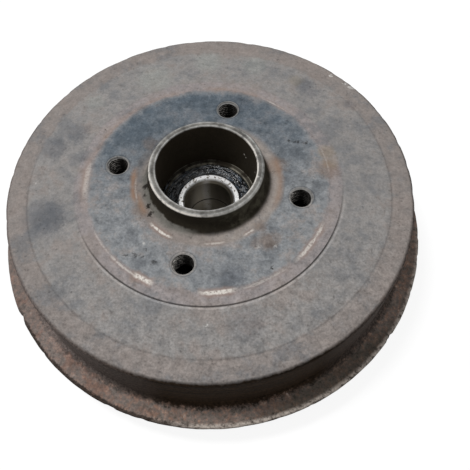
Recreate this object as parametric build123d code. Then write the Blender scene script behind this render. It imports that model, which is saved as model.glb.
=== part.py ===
from build123d import *
import os
from math import radians, tan

# Rear brake drum: drum and hub cast in one piece, with a sealed double-row ball bearing pressed
# into the hub and held by a retaining ring. Millimetres. Z is the axis that the drum turns on.
# The open mouth lies on Z = 0, the wheel's seating face looks up, and one bolt hole is on +X.

# ---- Driving dimensions: the brake side of the casting -------------------------------------------
friction_d = 203.2        # bore that the shoes rub on
track_width = 38.0        # machined band for the shoes
mouth_lead = 7.0          # plain band between the mouth and the track
mouth_chamfer = 1.5
relief_width = 4.9        # turned relief between the track and the web
relief_depth = 0.8
wall_thickness = 6.4      # at the shoulder, where the side wall is thickest
wall_draft = 0.6          # how much the side wall loses in radius from the shoulder to the lip
web_thickness = 7.0       # disc that closes the drum, at its outer band
corner_radius = 2.5       # rounded shoulder between the outer band and the side wall
inner_corner_radius = 2.0

# ---- Lip round the mouth -------------------------------------------------------------------------
lip_reach = 11.9          # how far the lip stands out from the side wall
lip_edge_height = 17.4    # underside of the lip's edge above the mouth
lip_edge_thickness = 3.0
lip_slope = 2.2           # fall of the lip's upper face from its root to its edge
lip_root_thickness = 6.5
lip_edge_radius = 1.0
lip_root_radius = 2.0

# ---- Outer face ----------------------------------------------------------------------------------
face_crown = 2.1          # wheel face above the outer band
outer_band_width = 11.8   # flat band inside the shoulder
outer_band_fall = 0.2
face_ring_r = 70.9        # turned line between the wheel seat and the cast face
face_ring_drop = 0.7      # depth of the cast face's inner edge below the wheel face
line_width = 0.9          # turned lines on the face
line_depth = 0.7
seat_outer_r = 63.8       # edge of the wheel's seating face
seat_edge_drop = 0.5
seat_edge_run = 0.8

# ---- Hub -----------------------------------------------------------------------------------------
collar_d = 60.0           # spigot that centres the wheel
collar_height = 13.2
collar_fillet = 7.5       # flare at the foot of the collar
collar_relief_depth = 0.3 # the flare's foot lies this far below the wheel's seating face
collar_relief_land = 0.5
collar_chamfer = 1.0
collar_bore_chamfer = 0.4
flange_thickness = 13.0   # metal under the wheel's seating face
flange_outer_r = 62.0
flange_slope_run = 6.0
boss_d = 66.0             # inner boss that holds the bearing
boss_draft = 1.5
boss_fillet = 5.0
boss_end_radius = 1.5
bearing_recess = 18.6     # wheel face down to the bearing
shoulder_thickness = 3.0  # stop that the bearing is pressed against
shoulder_bore_d = 46.4

# ---- Wheel bolts ---------------------------------------------------------------------------------
bolt_circle_d = 100.0
bolt_count = 4
bolt_bore_d = 10.4        # minor diameter of the M12 x 1.5 thread
bolt_countersink_d = 12.4

# ---- Bearing -------------------------------------------------------------------------------------
bearing_d = 52.0
bearing_bore_d = 25.0
bearing_width = 37.0
ball_d = 7.938
ball_count = 12           # in each of the two rows
row_offset = 7.9          # each row's distance from the bearing's middle
outer_ring_wall = 2.35    # metal behind the raceways of the outer ring
outer_mid_land = 1.35     # height of each land above the bottom of the raceway beside it
outer_end_land = 0.85
inner_end_land = 1.5
inner_joint_land = 0.65
ring_chamfer = 0.6
bore_chamfer = 2.1        # lead-in for the stub axle
joint_chamfer = 0.3
cage_thickness = 2.6
cage_width = 10.0
seal_thickness = 2.4
seal_recess = 0.5
seal_seat_depth = 0.6     # how far the seal's rim enters the outer ring
seal_rim_width = 1.4
seal_web_thickness = 1.0
seal_lip_width = 1.4

# ---- Retaining ring ------------------------------------------------------------------------------
clip_thickness = 2.0
clip_groove_depth = 1.5
clip_back_width = 4.6     # radial width opposite the gap
clip_gap_width = 2.8      # radial width beside the lugs
clip_lug_r = 3.1
clip_lug_hole_d = 2.5
clip_lug_spacing = 13.0   # degrees from the middle of the gap to each lug's hole
clip_gap_angle = 6.5      # degrees from the middle of the gap to each end
clip_gap_direction = 285.0

# ---- Clearances ----------------------------------------------------------------------------------
fit_gap = 0.02            # pieces pressed or clamped together
running_gap = 0.08        # balls in their races and pockets
seal_lip_gap = 0.06       # seal lip round the inner ring
clip_groove_play = 0.15

# ---- Worked out from the above -------------------------------------------------------------------
friction_r = friction_d / 2
web_inner_z = mouth_lead + track_width + relief_width
outer_band_z = web_inner_z + web_thickness
wheel_face_z = outer_band_z + face_crown
shoulder_r = friction_r + wall_thickness
wall_foot_r = shoulder_r - wall_draft
lip_r = wall_foot_r + lip_reach
lip_edge_top_z = lip_edge_height + lip_edge_thickness
lip_root_top_z = lip_edge_top_z + lip_slope
lip_root_low_z = lip_root_top_z - lip_root_thickness
outer_ring_line_r = shoulder_r - outer_band_width

collar_r = collar_d / 2
seat_inner_r = collar_r + collar_fillet + collar_relief_land
collar_top_z = wheel_face_z + collar_height
collar_floor_z = wheel_face_z - collar_relief_depth
bearing_r = bearing_d / 2
bearing_top_z = wheel_face_z - bearing_recess
bearing_mid_z = bearing_top_z - bearing_width / 2
bearing_low_z = bearing_top_z - bearing_width
boss_end_z = bearing_low_z - shoulder_thickness
boss_r = boss_d / 2
flange_inner_z = wheel_face_z - flange_thickness

ball_r = ball_d / 2
race_r = ball_r + running_gap
outer_race_r = bearing_r - outer_ring_wall
pitch_r = outer_race_r - race_r
inner_race_r = pitch_r - race_r
outer_mid_land_r = outer_race_r - outer_mid_land
outer_end_land_r = outer_race_r - outer_end_land
inner_end_land_r = inner_race_r + inner_end_land
inner_joint_land_r = inner_race_r + inner_joint_land
seal_seat_r = outer_end_land_r + seal_seat_depth
clip_groove_r = bearing_r + clip_groove_depth
clip_r = clip_groove_r - fit_gap

rows = {"outboard": bearing_mid_z + row_offset, "inboard": bearing_mid_z - row_offset}


def turned(points, radii):
    """Solid turned from a closed outline of (radius, height) points, each corner with its own fillet."""
    with BuildPart() as part:
        with BuildSketch(Plane.XZ):
            with BuildLine():
                FilletPolyline(*points, radius=radii, close=True)
            make_face()
        revolve(axis=Axis.Z)
    return part.part


def casting_outline():
    """Half section of the drum and hub casting: (radius, height, corner fillet)."""
    half_line = line_width / 2
    slope = (face_ring_drop - face_crown) / (outer_ring_line_r - face_ring_r)
    outer_face = [
        (collar_r - collar_chamfer, collar_top_z, 0),
        (collar_r, collar_top_z - collar_chamfer, 0),
        (collar_r, collar_floor_z, collar_fillet),
        (seat_inner_r, collar_floor_z, 0),
        (seat_inner_r + collar_relief_depth, wheel_face_z, 0),
        (seat_outer_r, wheel_face_z, 0),
        (seat_outer_r + seat_edge_run, wheel_face_z - seat_edge_drop, 0),
        (face_ring_r - half_line, wheel_face_z - face_ring_drop, 0),
        (face_ring_r, wheel_face_z - face_ring_drop - line_depth, 0),
        (face_ring_r + half_line, wheel_face_z - face_ring_drop + slope * half_line, 0),
        (outer_ring_line_r - half_line, outer_band_z - slope * half_line, 0),
        (outer_ring_line_r, outer_band_z - line_depth, 0),
        (outer_ring_line_r + half_line, outer_band_z, 0),
        (shoulder_r, outer_band_z - outer_band_fall, corner_radius),
    ]
    side_and_lip = [
        (wall_foot_r, lip_root_top_z, lip_root_radius),
        (lip_r, lip_edge_top_z, lip_edge_radius),
        (lip_r, lip_edge_height, lip_edge_radius),
        (wall_foot_r, lip_root_low_z, lip_root_radius),
        (wall_foot_r, mouth_chamfer / 2, 0),
        (wall_foot_r - mouth_chamfer / 2, 0, 0),
    ]
    inside = [
        (friction_r + mouth_chamfer, 0, 0),
        (friction_r, mouth_chamfer, 0),
        (friction_r, mouth_lead + track_width, 0),
        (friction_r + relief_depth, mouth_lead + track_width + relief_depth, 0),
        (friction_r + relief_depth, web_inner_z, inner_corner_radius),
        (flange_outer_r + flange_slope_run, web_inner_z, 0),
        (flange_outer_r, flange_inner_z, 0),
        (boss_r, flange_inner_z, boss_fillet),
        (boss_r - boss_draft, boss_end_z, boss_end_radius),
    ]
    hub_bore = [
        (shoulder_bore_d / 2, boss_end_z, 0),
        (shoulder_bore_d / 2, bearing_low_z, 0),
        (bearing_r, bearing_low_z, 0),
        (bearing_r, collar_top_z - collar_bore_chamfer, 0),
        (bearing_r + collar_bore_chamfer, collar_top_z, 0),
    ]
    return outer_face + side_and_lip + inside + hub_bore


def drum_casting():
    """Drum and hub in one iron casting, turned, grooved for the retaining ring, drilled and tapped."""
    outline = casting_outline()
    body = turned([(r, z) for r, z, _ in outline], [fillet_r for _, _, fillet_r in outline])
    upwards = (Align.CENTER, Align.CENTER, Align.MIN)
    downwards = (Align.CENTER, Align.CENTER, Align.MAX)
    groove = Cylinder(clip_groove_r, clip_thickness + clip_groove_play, align=upwards)
    body -= Pos(0, 0, bearing_top_z) * groove
    countersink = (bolt_countersink_d - bolt_bore_d) / 2
    for place in PolarLocations(bolt_circle_d / 2, bolt_count):
        drill = Cylinder(bolt_bore_d / 2, 3 * flange_thickness)
        top = Cone(bolt_bore_d / 2, bolt_countersink_d / 2, countersink, align=downwards)
        low = Cone(bolt_countersink_d / 2, bolt_bore_d / 2, countersink, align=upwards)
        body -= place * Pos(0, 0, wheel_face_z) * (drill + top)
        body -= place * Pos(0, 0, flange_inner_z) * low
    return body


def race(z):
    """Ring-shaped space that a row of balls runs in."""
    return Pos(0, 0, z) * Torus(pitch_r, race_r)


def bearing_outer_ring():
    """Outer ring with a high shoulder between the rows and a seat for a seal at each end."""
    r = bearing_r - fit_gap
    half = bearing_width / 2
    seat = half - seal_recess - seal_thickness - fit_gap
    half_section = [
        (outer_mid_land_r, 0),
        (outer_mid_land_r, row_offset),
        (outer_end_land_r, row_offset),
        (outer_end_land_r, seat),
        (seal_seat_r, seat),
        (seal_seat_r, half),
        (r - ring_chamfer, half),
        (r, half - ring_chamfer),
    ]
    mirrored = [(x, -z) for x, z in reversed(half_section[1:])]
    outline = half_section + mirrored
    ring = Pos(0, 0, bearing_mid_z) * turned(outline, [0] * len(outline))
    for z in rows.values():
        ring -= race(z)
    return ring


def bearing_inner_ring(side):
    """One half of the split inner ring: side is +1 for the outboard half and -1 for the inboard one."""
    half = bearing_width / 2
    bore_r = bearing_bore_d / 2
    outline = [
        (bore_r + joint_chamfer, fit_gap / 2),
        (inner_joint_land_r - joint_chamfer, fit_gap / 2),
        (inner_joint_land_r, fit_gap / 2 + joint_chamfer),
        (inner_joint_land_r, row_offset),
        (inner_end_land_r, row_offset),
        (inner_end_land_r, half - joint_chamfer),
        (inner_end_land_r - joint_chamfer, half),
        (bore_r + bore_chamfer, half),
        (bore_r, half - bore_chamfer),
        (bore_r, fit_gap / 2 + joint_chamfer),
    ]
    ring = turned([(r, side * z) for r, z in outline], [0] * len(outline))
    return Pos(0, 0, bearing_mid_z) * ring - race(bearing_mid_z + side * row_offset)


def ball_angles():
    """Angles of the balls and of their pockets."""
    return [360 / ball_count * i for i in range(ball_count)]


def ball_cage(z):
    """Window cage that keeps one row of balls apart."""
    with BuildPart() as cage:
        with BuildSketch(Plane.XY.offset(z - cage_width / 2)):
            Circle(pitch_r + cage_thickness / 2)
            Circle(pitch_r - cage_thickness / 2, mode=Mode.SUBTRACT)
        extrude(amount=cage_width)
    ring = cage.part
    for angle in ball_angles():
        pocket = Pos(pitch_r, 0, z) * Rot(0, 90, 0) * Cylinder(ball_r + running_gap, 3 * cage_thickness)
        ring -= Rot(0, 0, angle) * pocket
    return ring


def ball(angle, z):
    """One ball in its place in a row."""
    return Rot(0, 0, angle) * Pos(pitch_r, 0, z) * Sphere(ball_r)


def bearing_seal(side):
    """Rubber-covered seal: a rim held in the outer ring, a thin web and a lip round the inner ring."""
    outer_r = seal_seat_r - fit_gap
    inner_r = inner_end_land_r + seal_lip_gap
    low = bearing_width / 2 - seal_recess - seal_thickness
    top = bearing_width / 2 - seal_recess
    web_low = top - (seal_thickness + seal_web_thickness) / 2
    web_top = web_low + seal_web_thickness
    outline = [
        (inner_r, low),
        (inner_r + seal_lip_width, web_low),
        (outer_r - seal_rim_width, web_low),
        (outer_r - seal_rim_width, low),
        (outer_r, low),
        (outer_r, top),
        (outer_r - seal_rim_width, top),
        (outer_r - seal_rim_width, web_top),
        (inner_r + seal_lip_width, web_top),
        (inner_r, top),
    ]
    seal = turned([(r, side * z) for r, z in outline], [0] * len(outline))
    return Pos(0, 0, bearing_mid_z) * seal


def retaining_ring():
    """Spring ring in the hub's groove, widest opposite its gap, with a drilled lug at each end."""
    middle_width = (clip_back_width + clip_gap_width) / 2
    inner_shift = (clip_back_width - clip_gap_width) / 2
    lug_place_r = clip_r - clip_lug_r - (clip_groove_depth + clip_gap_width) / 2
    with BuildPart() as ring:
        with BuildSketch():
            Circle(clip_r)
            with Locations((inner_shift, 0)):
                Circle(clip_r - middle_width, mode=Mode.SUBTRACT)
            for turn in (-clip_lug_spacing, clip_lug_spacing):
                with Locations(Rot(0, 0, turn) * Pos(lug_place_r, 0)):
                    Circle(clip_lug_r)
            for turn in (-clip_lug_spacing, clip_lug_spacing):
                with Locations(Rot(0, 0, turn) * Pos(lug_place_r, 0)):
                    Circle(clip_lug_hole_d / 2, mode=Mode.SUBTRACT)
            reach = 2 * clip_r
            spread = reach * tan(radians(clip_gap_angle))
            with BuildLine():
                Polyline((0, 0), (reach, -spread), (reach, spread), close=True)
            make_face(mode=Mode.SUBTRACT)
        extrude(amount=clip_thickness)
    return Pos(0, 0, bearing_top_z + fit_gap) * Rot(0, 0, clip_gap_direction) * ring.part


def write(name, shape):
    """Writes one piece to its own file."""
    export_step(shape, f"parts/{name}.step")


os.makedirs("parts", exist_ok=True)
write("drum_casting", drum_casting())
write("bearing_outer_ring", bearing_outer_ring())
write("retaining_ring", retaining_ring())
for name, side in (("outboard", 1), ("inboard", -1)):
    write(f"bearing_inner_ring_{name}", bearing_inner_ring(side))
    write(f"bearing_seal_{name}", bearing_seal(side))
    write(f"ball_cage_{name}", ball_cage(rows[name]))
    for number, angle in enumerate(ball_angles(), start=1):
        write(f"ball_{name}_{number:02d}", ball(angle, rows[name]))
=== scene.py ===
from functools import partial
from math import atan2, cos, hypot, pi, radians, sin, tan
from types import SimpleNamespace

import bmesh
import bpy
from mathutils import Matrix, Vector, noise


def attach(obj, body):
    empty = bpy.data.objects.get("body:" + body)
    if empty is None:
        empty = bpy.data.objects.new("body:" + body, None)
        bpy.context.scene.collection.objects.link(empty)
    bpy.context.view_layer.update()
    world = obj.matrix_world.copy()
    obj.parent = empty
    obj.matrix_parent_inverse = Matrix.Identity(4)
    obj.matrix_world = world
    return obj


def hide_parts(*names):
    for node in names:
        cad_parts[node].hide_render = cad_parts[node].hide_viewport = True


bl_info = {
    "name": "Brake drum",
    "version": (1, 0, 0),
    "blender": (4, 5, 0),
    "location": "3D View > Sidebar > Brake drum",
    "description": "Builds the looks of a used rear brake drum with its hub bearing",
    "category": "Object",
}

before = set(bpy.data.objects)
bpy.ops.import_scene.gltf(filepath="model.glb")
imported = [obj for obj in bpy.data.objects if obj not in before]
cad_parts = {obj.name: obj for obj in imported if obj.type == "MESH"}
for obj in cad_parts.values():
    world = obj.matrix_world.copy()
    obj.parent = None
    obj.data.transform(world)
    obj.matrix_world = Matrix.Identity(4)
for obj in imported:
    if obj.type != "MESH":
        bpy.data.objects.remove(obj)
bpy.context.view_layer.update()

# Radii and heights are in millimetres throughout, and azimuths in degrees from the bolt hole on +X.
MM = 0.001
WHEEL_FACE_Z = 59.0
BEARING_TOP_Z = 40.4
BEARING_LENGTH = 37.0
# A point past this radius is on the drum's outside, past the next on its side wall or shoulder, and
# one above TOP_Z on its top. The lip ends at LIP_ROOT_Z, and the wheel's seat lies between two radii.
OUTSIDE_R = 104.5
SHOULDER_R = 105.6
TOP_Z = 54.0
LIP_ROOT_Z = 24.5
SEAT_INNER_R, SEAT_OUTER_R = 38.5, 63.6
# The two turned lines: middle, and height of the face beside them.
INNER_LINE_R, INNER_LINE_RIM_Z = 70.9, 58.28
OUTER_LINE_R, OUTER_LINE_RIM_Z = 96.2, 56.91
# The tapped holes: how many and where, the flange's inner face, their radius at each mouth and where
# the countersink meets the seat, and how far the plug that cuts them stands out.
BOLT_COUNT = 4
BOLT_CIRCLE_R = 50.0
HOLE_BOTTOM_Z = 46.0
HOLE_MOUTH_R = 6.2
COUNTERSINK_R = 6.75
PLUG_REACH = 1.5
# A plug's mesh: sides round it, rows to each turn of thread, and a turn in degrees that keeps its
# vertices off those of the casting. The crests and roots are flat for this share of half a pitch.
PLUG_SIDES, PLUG_ROWS, PLUG_TURN = 36, 10, 3.7
THREAD_FLAT = 0.12

# Half section of the casting, from the spigot's top edge outwards and round: radius, height, corner
# fillet, and spacing of the mesh along the run that starts there.
SECTION = [
    (29.0, 72.2, 0, 0.9), (30.0, 71.2, 0, 1.2), (30.0, 58.7, 7.5, 1.5), (37.4, 58.72, 0, 0.7),
    (39.2, 59.0, 0, 1.9), (63.8, 59.0, 0, 0.5), (64.6, 58.5, 0, 1.5), (70.45, 58.3, 0, 0.5),
    (INNER_LINE_R, 57.6, 0, 0.5), (71.35, 58.275, 0, 2.0), (95.9, 56.925, 0, 0.4),
    (OUTER_LINE_R, 56.5, 0, 0.4), (96.5, 56.9, 0, 1.4), (108.0, 56.7, 2.5, 2.0),
    (107.4, 22.6, 2.0, 0.9), (119.3, 20.4, 1.0, 0.8), (119.3, 17.4, 1.0, 2.2), (107.4, 16.1, 2.0, 3.5),
    (107.4, 0.75, 0, 0.8), (106.65, 0.0, 0, 2.0), (103.1, 0.0, 0, 2.0), (101.6, 1.5, 0, 5.5),
    (101.6, 45.0, 0, 0.8), (102.4, 45.8, 0, 1.2), (102.4, 49.9, 2.0, 6.5), (68.0, 49.9, 0, 3.6),
    (62.0, 46.0, 0, 5.8), (33.0, 46.0, 5.0, 6.0), (31.5, 0.4, 1.5, 3.0), (23.2, 0.4, 0, 3.0),
    (23.2, 3.4, 0, 2.8), (26.0, 3.4, 0, 18.5), (26.0, 40.4, 0, 1.5), (27.5, 40.4, 0, 1.1),
    (27.5, 42.55, 0, 1.5), (26.0, 42.55, 0, 2.3), (26.0, 71.8, 0, 0.6), (26.4, 72.2, 0, 1.3),
]
# Steps round a fillet, and the radius from which one has three times as many.
CORNER_STEPS, WIDE_FILLET = 3, 5.0
CASTING_CREASE, GREASE_CREASE = 38, 80
GREASE_STEPS = 280

# Azimuths of the sides towards which a finish changes.
SIDES = {
    "front": 292,  # the inner turned line is deepest, its painted shade darkest and its edge's painted highlight strongest, and the skin is free of dust
    "filled": 115,  # the outer turned line is filled
    "bare_foot": 142,  # rust leaves more of the spigot's foot bare
    "dark_seat": 112,  # the wheel's seat has a painted blue-grey reflection
    "clean": 226,  # the flare of the spigot's foot is clean
    "dusty": 212,  # the spigot's foot and side are painted lighter, on the side the lamp lights
    "dust_trace": -14,  # the side wall has a trace of dust
    "damp": -43,  # the drum's shadow is painted on the lip
    "dirty_edge": 248,  # a dark band runs along the lip's edge
    "streaked": -28,  # the spigot's side is streaked
}

# Lines of rust at the foot of the spigot and the edge of the seat, and turned edges that are rubbed
# bare and painted bright as a painted highlight: middle azimuth and half width in degrees, radius and half
# width, and how strong.
RUST_ARCS = [
    (196, 19, 39.6, 0.9, 0.75), (214, 12, 37.2, 0.7, 0.5), (12, 30, 38.6, 1.3, 0.45),
    (150, 44, 65.0, 1.7, 0.2), (90, 20, 64.8, 1.5, 0.22), (190, 20, 66.2, 2.2, 0.2),
]
RUBBED_AND_HIGHLIT_ARCS = [
    (191, 12, 65.0, 2.0, 0.3), (254.5, 5.5, 64.3, 1.6, 1.0), (244, 11, 64.5, 0.7, 0.45),
    (288, 9, 64.2, 1.3, 1.0), (309, 14, 64.4, 0.7, 0.35), (337, 13, 64.4, 1.05, 0.75),
    (66, 9, 64.5, 0.6, 0.4), (24, 10, 64.5, 0.8, 0.2), (228, 9, 64.4, 0.6, 0.25),
    (245, 12, 38.3, 0.95, 1.0), (289, 9, 37.8, 0.6, 0.45), (317, 5, 38.0, 0.7, 0.6),
    (200, 13, 38.2, 0.6, 0.25),
]
# Painted highlights along the edges of the spigot's top: radius and the azimuth towards which they are.
RIM_HIGHLIGHTS = [(29.35, 232), (26.35, 15)]

# Marks on the top by colour: middle x and y, radius, and how strong.
MARKS = {
    "cool_patch": [
        (-77, -39, 15, 0.55), (-89, 5, 10, 0.4), (-80, 18, 9, 0.4), (-74, 0, 6, 0.3), (25, -52, 9, 0.4),
        (36, -74, 12, 0.25), (6, 56, 9, 0.35), (40, 78, 8.5, 0.5), (45, 73, 6, 0.35), (66, 69, 4.5, 0.35),
    ],
    "pale_patch": [(-48, 66, 14, 0.5), (-20, 86, 12, 0.5), (8, 88, 10, 0.45), (-78, 42, 8, 0.4)],
    "rust_patch": [
        (38, -29, 7, 0.5), (33, -31, 5, 0.35), (42, -26, 5, 0.3), (-30, -25, 6, 0.45), (-37, 18, 6, 0.3),
        (61, 20, 8, 0.45), (33, -22, 5, 0.4), (-21, -62, 5, 0.4), (34, 17, 8, 0.4),
    ],
    "ochre_patch": [(58.9, 31.4, 6.5, 0.4), (62.2, 25.6, 6, 0.3), (34, 81, 6, 0.25)],
    "pit": [
        (-24.7, -50.3, 1.5, 0.6), (-20.6, -46.6, 1.2, 0.5), (-20.8, -51.2, 1.2, 0.6),
        (-14.4, -52.1, 1.6, 0.65), (-29.6, -52, 1.2, 0.5), (42.6, -43.1, 1.1, 0.9),
        (38.2, 34.8, 1.4, 0.75), (40.4, 35.0, 1.1, 0.6), (42.5, 35.3, 1.3, 0.7), (44.8, 35.2, 1.1, 0.6),
        (47.0, 35.2, 1.6, 0.8), (-30.6, -10.8, 2.0, 0.95), (-29.9, -15.6, 1.6, 0.8),
        (-25.6, -21.8, 1.9, 0.95), (-23.8, -25.9, 2.0, 0.9), (-64, 22, 1.0, 0.6),
    ],
    "speck": [
        (53.6, 89.5, 1.3, 0.7), (63.0, 84.3, 1.6, 0.55), (66.5, 82.2, 1.8, 0.6), (26.6, -0.5, 1.5, 0.9),
        (-90.6, -19.1, 0.8, 0.6), (18.9, -77.4, 0.8, 0.6), (-22, -43, 0.9, 0.4), (34, -33, 1.0, 0.4),
        (42, -31, 1.1, 0.5),
    ],
}
# Pale specks on the spigot's bore: middle and radius.
BORE_SPECKS = [
    (15.7, 20.7, 59.2, 0.6), (16.7, 19.9, 57.8, 0.45), (23.5, 11.1, 58.0, 0.55), (20.4, 16.1, 52.6, 0.4),
]

# Noise of the casting's skin: size, detail, roughness, and whether it is moved off the others.
SKIN = {
    "cloud": (30, 3.0, 0.55, False), "flakes": (9, 3.0, 0.6, True), "tint": (7, 6.0, 0.68, True),
    "blotch": (4, 5.0, 0.7, False), "rust": (2.6, 5.0, 0.7, False), "specks": (2, 3.0, 0.6, False),
    "grain": (1.2, 3.0, 0.65, False),
}
MOVED_OFF = (57, 13, 29)

# Camera: azimuth from the front, elevation and roll, its place, the focal length and the middle of
# the view from the left, both in pixels of a frame of that width, and the widths of frame and sensor.
CAMERA_TURN, CAMERA_RISE, CAMERA_ROLL = 17.85, 60.81, -5.09
CAMERA_PLACE = (52.16, -165.33, 310.56)
FOCAL_PIXELS, MIDDLE_PIXEL, FRAME_PIXELS, SENSOR_WIDTH = 575, 210.1, 470, 36.0


def linear(code, alpha=1.0):
    """Linear colour from an sRGB hex code."""
    parts = [int(code[i : i + 2], 16) / 255 for i in (1, 3, 5)]
    return [c / 12.92 if c <= 0.04045 else ((c + 0.055) / 1.055) ** 2.4 for c in parts] + [alpha]


def smooth(low, high, value):
    """0 below low, 1 above high and an even rise between."""
    t = min(1.0, max(0.0, (value - low) / (high - low)))
    return t * t * (3 - 2 * t)


def towards(azimuth):
    """Direction in plan towards an azimuth."""
    return (cos(radians(azimuth)), sin(radians(azimuth)), 0)


def add(tree, kind, inputs=None, **settings):
    """Adds one shader node, with its settings, values and links. A node given as a value links its
    first output.

    Map Range takes its value at 0, its old range at 1 and 2 and its new one, which is 0 to 1 unless it
    is given, at 3 and 4.
    """
    made = tree.nodes.new("ShaderNode" + kind)
    for name, value in settings.items():
        setattr(made, name, value)
    for key, value in (inputs or {}).items():
        socket = made.inputs[key]
        if isinstance(value, bpy.types.NodeSocket):
            tree.links.new(value, socket)
        elif isinstance(value, bpy.types.Node):
            tree.links.new(value.outputs[0], socket)
        else:
            socket.default_value = value
    return made


def new_material(name):
    """Empty procedural material, and the function that adds its nodes."""
    material = bpy.data.materials.new(name)
    material.use_nodes = True
    material.node_tree.nodes.clear()
    return material, partial(add, material.node_tree)


def finish_surface(n, inputs):
    """Ends a material with its shader, which takes these values and links."""
    shader = n("BsdfPrincipled", inputs)
    n("OutputMaterial", {"Surface": shader})


def millimetres(n):
    """Object coordinates in millimetres."""
    place = n("TexCoord").outputs["Object"]
    return n("VectorMath", {0: place, "Scale": 1 / MM}, operation="SCALE").outputs[0]


def place_on_drum(n):
    """Where a point lies: in millimetres, its coordinates, its place in plan and its radius."""
    mm = millimetres(n)
    x, y, z = n("SeparateXYZ", {0: mm}).outputs
    flat = n("CombineXYZ", {0: x, 1: y})
    r = n("VectorMath", {0: flat}, operation="LENGTH").outputs["Value"]
    return SimpleNamespace(mm=mm, x=x, y=y, z=z, flat=flat, r=r)


def distance_from(n, middle, value):
    """How far a value lies from a middle one, on either side."""
    off = n("Math", {0: value, 1: middle}, operation="SUBTRACT")
    return n("Math", {0: off}, operation="ABSOLUTE")


def set_stops(ramp_node, stops):
    """Puts the stops, pairs of place and colour code, on a colour ramp."""
    ramp = ramp_node.color_ramp
    while len(ramp.elements) > 1:
        ramp.elements.remove(ramp.elements[-1])
    ramp.elements[0].position = stops[0][0]
    ramp.elements[0].color = linear(stops[0][1])
    for place, code in stops[1:]:
        ramp.elements.new(place).color = linear(code)
    return ramp_node


def smears(n, mm, size, stops, detail=4.0, roughness=0.5):
    """Smears of a size in millimetres, and the colour that goes from stop to stop with them."""
    smear = n("TexNoise", {"Vector": mm, "Scale": 1 / size, "Detail": detail, "Roughness": roughness})
    return smear, set_stops(n("ValToRGB", {"Fac": smear}), stops).outputs[0]


def lay_over(n, colour, layers):
    """Lays finishes over a colour in turn. Each has a mask and a colour, as a code or a socket."""
    for mask, finish in layers:
        over = linear(finish) if isinstance(finish, str) else finish
        mixed = n("Mix", {"Factor": mask, "A": colour, "B": over}, data_type="RGBA")
        colour = mixed.outputs["Result"]
    return colour


# ---- Grey cast iron ------------------------------------------------------------------------------
def casting_skin(n, at):
    """Noise of the casting's skin, and stains made of its clouds and patches."""
    moved = n("VectorMath", {0: at.mm, 1: MOVED_OFF}, operation="ADD")
    skin = SimpleNamespace()
    for name, (size, detail, roughness, off) in SKIN.items():
        setattr(skin, name, n("TexNoise", {"Vector": moved if off else at.mm, "Scale": 1 / size,
                                           "Detail": detail, "Roughness": roughness}))
    skin.half_cloud = n("Math", {0: skin.cloud, 1: 0.5}, operation="MULTIPLY")
    skin.stain = n("Math", {0: skin.tint, 1: 0.5, 2: skin.half_cloud}, operation="MULTIPLY_ADD")
    skin.off_centre = n("Math", {0: skin.tint, 1: 0.5}, operation="SUBTRACT")
    return skin


def turned_faces(n, at, skin, look):
    """Colour of the turned and cast faces by radius, and the mask of the wheel's seat."""
    stops = [
        (26.0, look.collar_top), (26.8, look.collar_top), (27.2, look.collar_mid), (28.3, look.collar_mid),
        (28.7, look.collar_top), (29.6, look.collar_edge), (30.0, look.spigot_dirt_and_shade),
        (32.6, look.spigot_dirt_and_shade), (34.2, look.foot_rust), (38.4, look.foot_rust), (40.6, look.seat_iron),
        (62.4, look.seat_iron), (64.6, look.band_rust), (70.2, look.band_rust), (71.6, look.face_iron),
        (95.0, look.face_iron), (97.0, look.outer_rust), (108.0, look.outer_rust),
    ]
    widest = 120.0
    raggedness = n("MapRange", {0: at.r, 1: 33.0, 2: 40.0, 4: 7.0})
    ragged_r = n("Math", {0: skin.off_centre, 1: raggedness, 2: at.r}, operation="MULTIPLY_ADD")
    across = n("Math", {0: ragged_r, 1: widest}, operation="DIVIDE")
    faces = set_stops(n("ValToRGB", {"Fac": across}), [(r / widest, code) for r, code in stops])

    # Brown and cool grey stains drift over the faces, but not over the spigot.
    brown = n("MapRange", {0: skin.stain, 1: 0.49, 2: 0.60, 4: 0.65}, interpolation_type="SMOOTHSTEP")
    brown = n("Math", {0: brown, 1: at.past_spigot}, operation="MULTIPLY")
    cool = n("MapRange", {0: skin.stain, 1: 0.50, 2: 0.38, 4: 0.6}, interpolation_type="SMOOTHSTEP")
    cool = n("Math", {0: cool, 1: at.past_spigot}, operation="MULTIPLY")

    # The wheel's seat, rubbed smooth by the wheel, is painted darker blue-grey on one half: a painted
    # reflection in its smooth face, patchy with the stains.
    in_from_foot = n("MapRange", {0: at.reach["bare_foot"], 1: 16.0, 2: 34.0, 4: 3.2})
    foot_r = n("Math", {0: ragged_r, 1: in_from_foot}, operation="ADD")
    past_foot = n("MapRange", {0: foot_r, 1: 36.5, 2: 40.5})
    inside_edge = n("MapRange", {0: ragged_r, 1: 65.2, 2: 59.8})
    seat = n("Math", {0: inside_edge, 1: past_foot}, operation="MULTIPLY")
    reflecting_side = n("MapRange", {0: at.reach["dark_seat"], 1: -20.0, 2: 46.0, 3: 0.12, 4: 0.88},
                  interpolation_type="SMOOTHSTEP")
    patchy = n("MapRange", {0: skin.stain, 1: 0.58, 2: 0.42, 3: -0.18, 4: 0.12})
    dark = n("Math", {0: reflecting_side, 1: patchy}, operation="ADD", use_clamp=True)
    dark_seat = n("Math", {0: seat, 1: dark}, operation="MULTIPLY")

    # The foot of the spigot is painted lighter on the side the lamp lights: painted light.
    flare_painted_light = n("MapRange", {0: at.reach["clean"], 1: 20.0, 2: 28.0, 4: 0.9})
    flare_r = n("Math", {0: skin.off_centre, 1: 3.0, 2: at.r}, operation="MULTIPLY_ADD")
    flare_painted_light = n("MapRange", {0: flare_r, 1: 31.2, 2: 31.9, 4: flare_painted_light})
    flare_painted_light = n("MapRange", {0: flare_r, 1: 36.0, 2: 33.2, 4: flare_painted_light})
    faces = lay_over(n, faces, [(brown, look.stain_brown), (cool, look.stain_cool),
                                (dark_seat, look.seat_reflection), (flare_painted_light, look.flare_painted_light)])
    return faces, seat


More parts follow.
